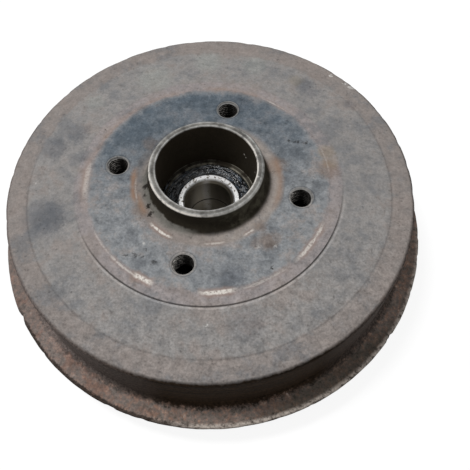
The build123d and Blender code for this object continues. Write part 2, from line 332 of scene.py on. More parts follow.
def marks_on_top(n, at, skin, look):
    """Masks and colours of the patches, pits and specks, with ragged outlines."""
    ragged_place = at.flat
    for noise_node, spread in ((skin.blotch, 7.0), (skin.grain, 3.0)):
        shift = n("VectorMath", {0: noise_node.outputs["Color"], 1: (0.5, 0.5, 0.0)}, operation="SUBTRACT")
        ragged_place = n("VectorMath", {0: shift, 1: (spread, spread, 0.0), 2: ragged_place},
                         operation="MULTIPLY_ADD")
    layers = []
    for colour_name, spots in MARKS.items():
        found = None
        for x, y, radius, strength in spots:
            away = n("VectorMath", {0: ragged_place, 1: (x, y, 0)}, operation="DISTANCE")
            part = n("MapRange", {0: away.outputs["Value"], 1: radius, 2: radius * 0.35, 4: strength},
                     interpolation_type="SMOOTHSTEP")
            if found is not None:
                part = n("Math", {0: found, 1: part}, operation="MAXIMUM")
            found = part
        layers.append((found, getattr(look, colour_name)))
    return layers


def dirty_side_wall(n, at, skin, look):
    """Oily dirt packed on the side wall, painted darker as painted shade, with faint rings left by turning
    and dry dust on one side.
    """
    # Rings about 2 mm apart.
    round_wall = n("Math", {0: at.angle, 1: 1.2}, operation="MULTIPLY")
    up_wall = n("Math", {0: at.z, 1: 0.55}, operation="MULTIPLY")
    rings_at = n("CombineXYZ", {0: round_wall, 1: up_wall})
    rings = n("TexNoise", {"Vector": rings_at, "Scale": 1.0, "Detail": 3.0})
    wall = set_stops(n("ValToRGB", {"Fac": rings}), [(0.35, look.side_dirt_and_shade), (0.65, look.side_rings_and_shade)])
    trace = n("MapRange", {0: at.reach["dust_trace"], 1: 91.0, 2: 107.0, 4: 0.4})
    dusted = n("Math", {0: at.dusty, 1: trace}, operation="MAXIMUM")
    wall = lay_over(n, wall, [(dusted, look.side_dust)])
    caked = n("MapRange", {0: skin.grain, 1: 0.3, 2: 0.7, 3: 0.55, 4: 1.35})
    return n("VectorMath", {0: wall, "Scale": caked}, operation="SCALE").outputs[0]


def rusty_lip(n, at, skin, look):
    """Flaking rust in orange, brown and grey, with the drum's shadow painted dark on one side and dry on
    another, and an edge with a painted highlight on the shadowed side and a dark band elsewhere.
    """
    shadow_reach = at.reach["damp"]
    tone = n("Math", {0: skin.half_cloud, 1: -0.25, 2: skin.rust}, operation="MULTIPLY_ADD")
    tone = n("Math", {0: tone, 1: 0.0625}, operation="ADD")
    lip = set_stops(n("ValToRGB", {"Fac": tone}),
                    [(0.29, look.lip_dark), (0.42, look.lip_grey), (0.51, look.lip_brown),
                     (0.60, look.lip_orange), (0.69, look.lip_pale)])
    fresh_most = n("MapRange", {0: shadow_reach, 1: 40.0, 2: 90.0, 3: 0.6, 4: 0.05})
    fresh = n("MapRange", {0: skin.flakes, 1: 0.49, 2: 0.62, 4: fresh_most}, interpolation_type="SMOOTHSTEP")
    # Painted shadow: the drum's shadow, painted dark over the lip on this side.
    damp = n("MapRange", {0: shadow_reach, 1: 105.5, 2: 111.5, 4: 0.6})
    dry = n("Math", {0: at.dusty, 1: 0.5}, operation="MULTIPLY")
    # Its edge has a painted highlight on the shadowed side, and a dark band elsewhere.
    knocked = n("MapRange", {0: skin.rust, 1: 0.40, 2: 0.53, 4: 0.95})
    outermost = n("MapRange", {0: at.r, 1: 116.6, 2: 118.0, 4: knocked})
    shadow_side = n("MapRange", {0: shadow_reach, 1: 66.0, 2: 92.0})
    edge_highlight = n("Math", {0: outermost, 1: shadow_side}, operation="MULTIPLY")
    dark_edge_side = n("MapRange", {0: at.reach["dirty_edge"], 1: 100.0, 2: 111.0, 4: 0.85})
    ragged_edge = n("Math", {0: skin.rust, 1: -4.0, 2: at.r}, operation="MULTIPLY_ADD")
    dirty_edge = n("MapRange", {0: ragged_edge, 1: 115.0, 2: 115.9, 4: dark_edge_side})
    lip = lay_over(n, lip, [(fresh, look.lip_fresh), (damp, look.lip_shadow), (dry, look.lip_dry),
                            (edge_highlight, look.lip_rim_highlight), (dirty_edge, look.lip_edge_shade)])
    scaled = n("MapRange", {0: skin.rust, 1: 0.3, 2: 0.7, 3: 0.80, 4: 1.24})
    return n("VectorMath", {0: lip, "Scale": scaled}, operation="SCALE").outputs[0]


def inside_skin(n, at, skin, look):
    """Plain brown casting skin inside, and the shoe track worn to bare iron."""
    # Scores about half a millimetre apart.
    round_track = n("Math", {0: at.angle, 1: 0.7}, operation="MULTIPLY")
    along_track = n("Math", {0: at.z, 1: 2.2}, operation="MULTIPLY")
    scoring_at = n("CombineXYZ", {0: round_track, 1: along_track})
    scoring = n("TexNoise", {"Vector": scoring_at, "Scale": 1.0, "Detail": 4.0})
    track = set_stops(n("ValToRGB", {"Fac": scoring}), [(0.3, look.track_dark), (0.7, look.track_light)])
    on_track = n("MapRange", {0: at.r, 1: 100.9, 2: 101.3})
    return lay_over(n, linear(look.inside_dark), [(skin.blotch, look.inside_light), (on_track, track)])


def bolt_holes(n, at, skin, look):
    """Distance from the nearest hole's axis, the masks of its thread and its wiped rim, and the thread's
    colour: dark in the roots, with painted highlights on the crests on one side."""
    from_hole = None
    for turn in range(BOLT_COUNT):
        around = turn * 2 * pi / BOLT_COUNT
        centre = (BOLT_CIRCLE_R * cos(around), BOLT_CIRCLE_R * sin(around), 0)
        near = n("VectorMath", {0: at.flat, 1: centre}, operation="DISTANCE").outputs["Value"]
        if from_hole is not None:
            near = n("Math", {0: from_hole, 1: near}, operation="MINIMUM")
        from_hole = near
    in_hole = n("MapRange", {0: from_hole, 1: 6.4, 2: 6.2})
    below_seat = n("MapRange", {0: at.z, 1: 57.95, 2: 57.6})
    in_hole = n("Math", {0: in_hole, 1: below_seat}, operation="MULTIPLY")
    # The middle of the nearest hole along X: that of the hole on this side, or 0 for the two on Y.
    beyond_y = n("Math", {0: n("Math", {0: at.x}, operation="ABSOLUTE"),
                          1: n("Math", {0: at.y}, operation="ABSOLUTE")}, operation="GREATER_THAN")
    hole_x = n("Math", {0: n("Math", {0: at.x}, operation="SIGN"), 1: BOLT_CIRCLE_R}, operation="MULTIPLY")
    hole_x = n("Math", {0: hole_x, 1: beyond_y}, operation="MULTIPLY")
    across = n("Math", {0: at.x, 1: hole_x}, operation="SUBTRACT")
    # Painted highlights on the thread's crests, towards one side of each hole.
    crest = n("MapRange", {0: from_hole, 1: 5.6, 2: 5.38})
    wiped = n("MapRange", {0: across, 1: -1.0, 2: -4.2, 3: 0.05})
    caught = n("MapRange", {0: skin.grain, 1: 0.43, 2: 0.55, 3: 0.1})
    for part in (wiped, caught):
        crest = n("Math", {0: crest, 1: part}, operation="MULTIPLY")
    thread = lay_over(n, linear(look.thread_dark), [(crest, look.thread_crest_highlight)])
    rim = n("MapRange", {0: from_hole, 1: 6.5, 2: 6.2, 4: 0.55})
    rim = n("Math", {0: rim, 1: at.top_side}, operation="MULTIPLY")
    return SimpleNamespace(distance=from_hole, inside=in_hole, rim=rim, thread=thread)


def dirty_spigot(n, at, skin, look):
    """Mask and colour of the spigot's side: dark dirt and painted shade above its foot, drawn back on the lit
    side as painted light, with lighter streaks.
    """
    # Painted light: the dark side is drawn back towards the lit side.
    clean = n("MapRange", {0: at.reach["clean"], 1: 8.0, 2: 29.0, 4: 2.4})
    clean_r = n("Math", {0: at.r, 1: clean}, operation="ADD")
    side = n("MapRange", {0: clean_r, 1: 33.6, 2: 31.4})
    under_edge = n("MapRange", {0: at.z, 1: 71.3, 2: 70.7})
    for part in (under_edge, at.top_side):
        side = n("Math", {0: side, 1: part}, operation="MULTIPLY")
    lighter = n("MapRange", {0: at.reach["streaked"], 1: 22.0, 2: 29.0, 3: 0.08, 4: 0.75})
    streaks = n("MapRange", {0: skin.tint, 1: 0.44, 2: 0.6, 4: lighter})
    return side, lay_over(n, linear(look.spigot_dirt_and_shade), [(streaks, look.spigot_light)])


def turned_line_shading(n, at):
    """Tone of the two turned lines: painted shade in their grooves, the inner one's darkest at the front."""
    front = n("MapRange", {0: at.reach["front"], 1: 12.0, 2: 50.0})
    inner_dark = n("MapRange", {0: front, 3: 0.95, 4: 0.5})
    from_inner = distance_from(n, INNER_LINE_R, at.r)
    inner = n("MapRange", {0: from_inner, 1: 0.15, 2: 0.55, 3: inner_dark})
    outer_dark = n("MapRange", {0: at.reach["filled"], 1: 12.0, 2: 64.0, 3: 0.84, 4: 0.97})
    from_outer = distance_from(n, OUTER_LINE_R, at.r)
    outer = n("MapRange", {0: from_outer, 1: 0.2, 2: 0.8, 3: outer_dark})
    lines = n("Math", {0: inner, 1: outer}, operation="MULTIPLY")
    # The inner line's outer edge has a painted highlight at the front.
    wiped = n("MapRange", {0: front, 3: 1.0, 4: 1.4})
    from_edge = distance_from(n, INNER_LINE_R + 1.1, at.r)
    edge = n("MapRange", {0: from_edge, 1: 0.65, 2: 0.25, 3: 1.0, 4: wiped})
    return n("Math", {0: lines, 1: edge}, operation="MULTIPLY")


def skin_tone(n, at, skin, seat, from_hole):
    """Light and dark grain over everything, softened by dust away from the front, dark specks where the
    skin is pitted, worn seat and spigot top, the spigot's foot painted lighter on the side the spigot shades,
    the turned lines' painted shade and highlight, and rings round the holes' countersinks."""
    undusted = n("MapRange", {0: at.reach["front"], 1: 20.0, 2: 76.0, 3: 0.58})
    rubbed_seat = n("Math", {0: seat, 1: 0.9}, operation="MULTIPLY")
    undusted = n("Math", {0: undusted, 1: rubbed_seat}, operation="MAXIMUM")
    mottle = n("MapRange", {0: skin.blotch, 1: 0.3, 2: 0.7, 3: 0.74, 4: 1.26})
    fine = n("MapRange", {0: skin.grain, 1: 0.3, 2: 0.7, 3: 0.78, 4: 1.22})
    mottle = n("Math", {0: mottle, 1: fine}, operation="MULTIPLY")
    tone = n("Mix", {"Factor": undusted, "A": 1.0, "B": mottle}, data_type="FLOAT")

    worn = n("MapRange", {0: skin.tint, 1: 0.35, 2: 0.65, 3: 0.90, 4: 1.09})
    pitted = n("MapRange", {0: skin.specks, 1: 0.38, 2: 0.27, 3: 1.0, 4: 0.72})
    clouded = n("MapRange", {0: skin.stain, 1: 0.40, 2: 0.60, 3: 0.91, 4: 1.08})
    rim = n("MapRange", {0: skin.tint, 1: 0.38, 2: 0.62, 3: 0.60, 4: 1.46})
    on_foot = n("MapRange", {0: at.r, 1: 42.0, 2: 37.0})
    on_foot = n("Math", {0: on_foot, 1: at.past_spigot}, operation="MULTIPLY")
    # Painted light: the spigot's foot is painted lighter towards +X, where the spigot's own shadow falls.
    foot = n("MapRange", {0: at.x, 1: -36.0, 2: 36.0, 3: 0.82, 4: 1.22})
    from_ring = distance_from(n, COUNTERSINK_R, from_hole)
    ring = n("MapRange", {0: from_ring, 1: 0.5, 2: 0.15, 3: 1.0, 4: 0.72})
    worn, rim, foot = (n("Mix", {"Factor": where, "A": 1.0, "B": part}, data_type="FLOAT")
                       for where, part in ((seat, worn), (at.on_rim, rim), (on_foot, foot)))
    for part in (worn, pitted, clouded, rim, foot, turned_line_shading(n, at), ring):
        tone = n("Math", {0: tone, 1: part}, operation="MULTIPLY")
    return tone


def arc_masks(n, at, arcs, broken, borders):
    """Masks of some arcs. Each border says how far past an arc's half width its mask starts, at what
    share of that width it is full, and how full it is then."""
    masks = [None] * len(borders)
    for middle, half, radius, width, strength in arcs:
        off = n("Math", {0: at.degrees, 1: (middle + 180) % 360 - 180}, operation="SUBTRACT")
        off = n("Math", {0: off, 1: -180.0, 2: 180.0}, operation="WRAP")
        off = n("Math", {0: off}, operation="ABSOLUTE")
        along = n("MapRange", {0: off, 1: half, 2: half * 0.55, 4: strength})
        away = n("Math", {0: distance_from(n, radius, at.r), 1: broken}, operation="ADD")
        for i, (past, full_at, full) in enumerate(borders):
            across = n("MapRange", {0: away, 1: width + past, 2: width * full_at, 4: full})
            arc = n("Math", {0: along, 1: across}, operation="MULTIPLY")
            if masks[i] is not None:
                arc = n("Math", {0: masks[i], 1: arc}, operation="MAXIMUM")
            masks[i] = arc
    return masks


def rubbed_edges_and_highlights(n, at, skin):
    """Masks of the bright marks, which are edges rubbed back to metal with a painted highlight, painted
    highlights on the spigot's top and pale specks in its bore; of the edges' pinkish brown border; and of
    lines of rust.
    """
    broken = n("Math", {0: skin.blotch, 1: 2.4, 2: -1.2}, operation="MULTIPLY_ADD")
    bright, border = arc_masks(n, at, RUBBED_AND_HIGHLIT_ARCS, broken, [(0.0, 0.3, 1.0), (1.6, 1.0, 0.7)])
    rust, = arc_masks(n, at, RUST_ARCS, broken, [(1.4, 0.2, 1.0)])
    scuffed = n("MapRange", {0: skin.grain, 1: 0.34, 2: 0.50, 3: 0.15})
    bright = n("Math", {0: bright, 1: scuffed}, operation="MULTIPLY")
    # Painted highlights on the spigot's top: along its outer edge on one side and its inner edge on the
    # other.
    rim_glint = n("MapRange", {0: skin.blotch, 1: 0.38, 2: 0.52, 3: 0.2})
    rim_glint = n("Math", {0: rim_glint, 1: at.on_rim}, operation="MULTIPLY")
    for radius, azimuth in RIM_HIGHLIGHTS:
        lit = n("VectorMath", {0: at.flat, 1: towards(azimuth)}, operation="DOT_PRODUCT")
        lit = n("MapRange", {0: lit.outputs["Value"], 1: 12.0, 2: 27.0, 3: 0.12})
        near = n("MapRange", {0: distance_from(n, radius, at.r), 1: 0.6, 2: 0.2, 4: rim_glint})
        near = n("Math", {0: near, 1: lit}, operation="MULTIPLY")
        bright = n("Math", {0: bright, 1: near}, operation="MAXIMUM")
    for x, y, z, radius in BORE_SPECKS:
        away = n("VectorMath", {0: at.mm, 1: (x, y, z)}, operation="DISTANCE").outputs["Value"]
        near = n("MapRange", {0: away, 1: radius, 2: radius * 0.6, 4: 0.9})
        bright = n("Math", {0: bright, 1: near}, operation="MAXIMUM")
    return [n("Math", {0: mask, 1: at.top_side}, operation="MULTIPLY") for mask in (bright, border, rust)]


def grey_cast_iron(look):
    """Grey cast iron, turned on its faces and left for years: dull oxide in blue-grey and brown, with
    rust on the rough lip, oily dirt on the side wall and grease in the hub, and painted shade, shadow,
    highlights and reflection."""
    material, n = new_material("grey_cast_iron_weathered")
    at = place_on_drum(n)
    at.angle = n("Math", {0: at.y, 1: at.x}, operation="ARCTAN2")
    at.degrees = n("Math", {0: at.angle, 1: 180 / pi}, operation="MULTIPLY")
    # How far a point lies towards each of the sides.
    at.reach = {}
    for side, azimuth in SIDES.items():
        along = n("VectorMath", {0: at.flat, 1: towards(azimuth)}, operation="DOT_PRODUCT")
        at.reach[side] = along.outputs["Value"]
    at.dusty = n("MapRange", {0: at.reach["dusty"], 1: 54.0, 2: 104.0, 4: 0.85})
    at.past_spigot = n("MapRange", {0: at.r, 1: 32.0, 2: 35.0})
    at.top_side = n("MapRange", {0: at.z, 1: TOP_Z, 2: TOP_Z + 1.6})
    at.on_rim = n("MapRange", {0: at.z, 1: 70.9, 2: 71.4})
    skin = casting_skin(n, at)

    # Side wall and lip, with ragged borders at the shoulder and at the wall's foot. The wall's dark colour
    # starts on the shoulder's rounding and runs past its foot over the lip's root: dirt, and painted shade
    # where the shoulder turns from the light and the wall shades the lip.
    outside = n("MapRange", {0: at.r, 1: OUTSIDE_R - 0.1, 2: OUTSIDE_R + 0.1})
    below_face = n("MapRange", {0: at.z, 1: 56.1, 2: 54.6})
    shoulder = n("Math", {0: skin.blotch, 1: 2.4, 2: at.r}, operation="MULTIPLY_ADD")
    past_shoulder = n("MapRange", {0: shoulder, 1: 107.2, 2: 108.6})
    on_wall = n("Math", {0: below_face, 1: past_shoulder}, operation="MAXIMUM")
    on_wall = n("Math", {0: on_wall, 1: outside}, operation="MULTIPLY")
    shaded_foot_r = n("Math", {0: skin.rust, 1: 7.0, 2: at.r}, operation="MULTIPLY_ADD")
    on_lip = n("MapRange", {0: shaded_foot_r, 1: 112.4, 2: 114.6})
    below_lip = n("MapRange", {0: at.z, 1: 17.5, 2: 16.0})
    below_lip = n("Math", {0: below_lip, 1: outside}, operation="MULTIPLY")
    rusty = n("Math", {0: on_lip, 1: below_lip}, operation="MAXIMUM")
    # Painted shade on the lip's outer face, strongest on the side of the drum's shadow.
    edge_shade = n("MapRange", {0: at.reach["damp"], 1: -20.0, 2: 70.0, 3: 0.92, 4: 0.3})
    lip_edge_shade = n("MapRange", {0: at.z, 1: 20.3, 2: 19.7, 4: edge_shade})
    near_edge = n("MapRange", {0: at.r, 1: 113.0, 2: 116.0})
    lip_edge_shade = n("Math", {0: lip_edge_shade, 1: near_edge}, operation="MULTIPLY")
    # The inside, and the greased bore of the spigot.
    not_outside = n("Math", {0: 1.0, 1: outside}, operation="SUBTRACT")
    not_top = n("Math", {0: 1.0, 1: at.top_side}, operation="SUBTRACT")
    indoors = n("Math", {0: not_outside, 1: not_top}, operation="MULTIPLY")
    in_bore = n("MapRange", {0: at.r, 1: 28.6, 2: 28.2})
    under_rim = n("MapRange", {0: at.z, 1: 72.1, 2: 71.5})
    greased = n("Math", {0: in_bore, 1: under_rim}, operation="MULTIPLY")

    colour, seat = turned_faces(n, at, skin, look)
    holes = bolt_holes(n, at, skin, look)
    colour = lay_over(n, colour, marks_on_top(n, at, skin, look) + [
        (holes.rim, look.hole_rim), (on_wall, dirty_side_wall(n, at, skin, look)),
        (rusty, rusty_lip(n, at, skin, look)), (lip_edge_shade, look.lip_edge_shade),
        (indoors, inside_skin(n, at, skin, look)), dirty_spigot(n, at, skin, look),
        (greased, look.grease_film), (holes.inside, holes.thread),
    ])
    tone = skin_tone(n, at, skin, seat, holes.distance)
    colour = n("VectorMath", {0: colour, "Scale": tone}, operation="SCALE").outputs[0]
    # Rubbed edges with their painted highlights, their border and lines of rust.
    bright, border, rust_line = rubbed_edges_and_highlights(n, at, skin)
    colour = lay_over(n, colour, [(rust_line, look.rust_line), (border, look.arc_border),
                                  (bright, look.bright_iron_and_highlight)])

    # Dull oxide, smoother on the seat, on the rubbed edges and in the greased bore.
    smooth_part = n("Math", {0: seat, 1: greased}, operation="MAXIMUM")
    rough = n("MapRange", {0: smooth_part, 3: 0.82, 4: 0.55})
    uneven = n("MapRange", {0: skin.blotch, 1: 0.3, 2: 0.7, 3: 0.9, 4: 1.1})
    rough = n("Math", {0: rough, 1: uneven}, operation="MULTIPLY")
    rough = n("Mix", {"Factor": bright, "A": rough, "B": 0.4}, data_type="FLOAT")

    # Relief of the casting skin, in millimetres, stronger on the rusty lip.
    height = n("Math", {0: skin.blotch, 1: 0.14}, operation="MULTIPLY")
    height = n("Math", {0: skin.grain, 1: 0.1, 2: height}, operation="MULTIPLY_ADD")
    rust_height = n("Math", {0: skin.rust, 1: rusty}, operation="MULTIPLY")
    height = n("Math", {0: rust_height, 1: 0.9, 2: height}, operation="MULTIPLY_ADD")
    relief = n("Bump", {"Height": height, "Distance": MM, "Strength": 0.8})
    # Oxide and dirt shine less than a clean surface does.
    finish_surface(n, {"Base Color": colour, "Metallic": 0.0, "Roughness": rough, "Specular IOR Level": 0.05,
                       "Normal": relief})
    return material


# ---- The other materials -------------------------------------------------------------------------
def ground_bearing_steel(look):
    """Hardened bearing steel: end faces ground bright, bore and raceways under a brown film of grease."""
    material, n = new_material("ground_bearing_steel")
    at = place_on_drum(n)
    # Grinding marks 0.25 mm apart, drawn coarser than the real ones so that they show.
    marks_per_mm = 4.0
    across, along = (n("Math", {0: way, 1: marks_per_mm}, operation="MULTIPLY") for way in (at.r, at.z))
    marks_at = n("CombineXYZ", {0: across, 1: along})
    marks = n("TexNoise", {"Vector": marks_at, "Scale": 1.0, "Detail": 2.0})
    smear = n("TexNoise", {"Vector": at.mm, "Scale": 1 / 1.6, "Detail": 4.0, "Roughness": 0.65})
    dirt = n("MapRange", {0: smear, 1: 0.46, 2: 0.405, 4: 0.97})
    # The film lies away from the two end faces, and is thinner in a streak along the bore, a painted
    # highlight.
    top_z, bottom_z = BEARING_TOP_Z, BEARING_TOP_Z - BEARING_LENGTH
    below_top = n("MapRange", {0: at.z, 1: top_z - 1.0, 2: top_z - 0.5, 3: 1.0, 4: 0.0})
    above_bottom = n("MapRange", {0: at.z, 1: bottom_z + 0.5, 2: bottom_z + 1.0})
    film = n("Math", {0: below_top, 1: above_bottom}, operation="MULTIPLY")
    chamfer = n("MapRange", {0: at.r, 1: 14.3, 2: 14.0, 4: 0.55})
    film = n("Math", {0: film, 1: chamfer}, operation="MAXIMUM")
    streak = n("MapRange", {0: distance_from(n, -4.6, at.x), 1: 0.6, 2: 2.8, 3: 0.78, 4: 0.98})
    film = n("Math", {0: film, 1: streak}, operation="MULTIPLY")
    dirt = n("Math", {0: dirt, 1: film}, operation="MAXIMUM")
    # Dirt in the joint between the two inner rings.
    from_joint = distance_from(n, BEARING_TOP_Z - BEARING_LENGTH / 2, at.z)
    joint = n("MapRange", {0: from_joint, 1: 0.55, 2: 0.4, 4: 0.9})
    in_bore = n("MapRange", {0: at.r, 1: 13.2, 2: 13.0, 4: joint})
    colour = lay_over(n, linear(look.bearing_steel), [(dirt, look.steel_film), (in_bore, look.grease)])
    rough = n("MapRange", {0: marks, 1: 0.3, 2: 0.7, 3: 0.45, 4: 0.6})
    rough = n("Mix", {"Factor": film, "A": rough, "B": 0.38}, data_type="FLOAT")
    relief = n("Bump", {"Height": marks, "Distance": 0.01 * MM, "Strength": 0.6})
    finish_surface(n, {"Base Color": colour, "Metallic": 1.0, "Roughness": rough, "Normal": relief})
    return material


def polished_ball_steel(look):
    """Lapped ball steel: a clean mirror with a trace of grease."""
    material, n = new_material("polished_ball_steel")
    stops = [(0.35, look.ball_shade), (0.55, look.bearing_steel)]
    smear, colour = smears(n, millimetres(n), 3, stops, detail=3.0)
    rough = n("MapRange", {0: smear, 1: 0.3, 2: 0.6, 3: 0.3, 4: 0.1})
    finish_surface(n, {"Base Color": colour, "Metallic": 1.0, "Roughness": rough})
    return material


def greasy_spring_steel(look):
    """Phosphated spring steel under grease: dark brown-grey, pale where the edge is wiped."""
    material, n = new_material("phosphated_spring_steel")
    at = place_on_drum(n)
    stops = [(0.36, look.grease_film), (0.45, look.clip_steel), (0.58, look.clip_wiped)]
    smear, colour = smears(n, at.mm, 5, stops, detail=5.0, roughness=0.6)
    greasy = n("MapRange", {0: distance_from(n, 24.9, at.r), 1: 1.05, 2: 0.7, 4: 0.85})
    colour = lay_over(n, colour, [(greasy, look.grease_film)])
    relief = n("Bump", {"Height": smear, "Distance": 0.08 * MM, "Strength": 0.8})
    finish_surface(n, {"Base Color": colour, "Metallic": 0.7, "Roughness": 0.4, "Normal": relief})
    return material


def nitrile_rubber(look):
    """Moulded nitrile rubber, black and a little shiny from grease."""
    material, n = new_material("nitrile_rubber")
    smear, colour = smears(n, millimetres(n), 3, [(0.35, look.rubber), (0.7, look.grease_film)])
    rough = n("MapRange", {0: smear, 1: 0.3, 2: 0.7, 3: 0.55, 4: 0.3})
    finish_surface(n, {"Base Color": colour, "Metallic": 0.0, "Roughness": rough})
    return material


def natural_polyamide(look):
    """Injection-moulded polyamide, cream gone brown with old grease."""
    material, n = new_material("natural_polyamide")
    _, colour = smears(n, millimetres(n), 4, [(0.35, look.cage_dirty), (0.65, look.cage_clean)])
    finish_surface(n, {"Base Color": colour, "Metallic": 0.0, "Roughness": 0.5, "Subsurface Weight": 0.1,
                       "Subsurface Radius": (MM, 0.6 * MM, 0.3 * MM)})
    return material


def old_black_grease(look):
    """Old bearing grease: black, wet-looking lumps with grey grit pressed in, and painted bluish glints on
    the tops of the lumps.
    """
    material, n = new_material("old_black_grease")
    at = place_on_drum(n)
    # Drawn out round the axis: streaks about 0.6 mm wide and 5 mm long.
    way = n("VectorMath", {0: at.flat}, operation="NORMALIZE")
    ringed = n("VectorMath", {0: way, "Scale": 4.0}, operation="SCALE")
    across = n("CombineXYZ", {2: n("Math", {0: at.r, 1: 1.7}, operation="MULTIPLY")})
    streaked = n("VectorMath", {0: ringed, 1: across}, operation="ADD")
    lumps = n("TexNoise", {"Vector": streaked, "Scale": 1.0, "Detail": 5.0, "Roughness": 0.68})
    # Grit of about half a millimetre.
    grit = n("TexNoise", {"Vector": at.mm, "Scale": 1 / 0.6, "Detail": 1.0})
    gritty = n("MapRange", {0: grit, 1: 0.66, 2: 0.72, 4: 0.6})
    # Painted highlights: bluish glints painted on the tops of the lumps.
    thin = n("MapRange", {0: lumps, 1: 0.52, 2: 0.62, 4: 0.75})
    colour = lay_over(n, linear(look.grease), [(gritty, look.grit), (thin, look.grease_glint)])
    rough = n("MapRange", {0: lumps, 1: 0.35, 2: 0.65, 3: 0.16, 4: 0.34})
    relief = n("Bump", {"Height": lumps, "Distance": 0.3 * MM, "Strength": 1.0})
    finish_surface(n, {"Base Color": colour, "Metallic": 0.0, "Roughness": rough, "Normal": relief})
    return material


# ---- Sizes and colours ---------------------------------------------------------------------------
def length(name, description, size, **limits):
    """A length that a user may change, given here in millimetres."""
    return bpy.props.FloatProperty(name=name, description=description, default=size * MM,
                                   unit="LENGTH", **limits)


def colour_code(name, description, code):
    """A colour that a user may change, held as an sRGB hex code."""
    return bpy.props.StringProperty(name=name, description=description, default=code, maxlen=7)


class BrakeDrumShape(bpy.types.PropertyGroup):
    """Sizes of the worn casting and of the grease."""

    segments: bpy.props.IntProperty(
        name="Segments", description="Steps round the casting", default=432, min=64)
    chip_depth: length("Chip depth", "Deepest chip in the lip's edge", 1.3, min=0)
    lip_roughness: length("Lip roughness", "Height of the rust on the lip", 0.28, min=0)
    wall_roughness: length("Wall roughness", "Unevenness of the side wall", 0.10, min=0)
    shoulder_wear: length("Shoulder wear", "Deepest knock in the shoulder", 0.6, min=0)
    thread_pitch: length("Thread pitch", "Pitch of the wheel bolt threads", 1.5, min=0.5 * MM)
    thread_minor: length("Thread minor diameter", "Across the thread's crests", 10.4)
    thread_major: length("Thread major diameter", "Across the thread's roots", 12.0)
    grease_height: length("Grease height", "Height of the grease over the seal", 1.5, min=0)


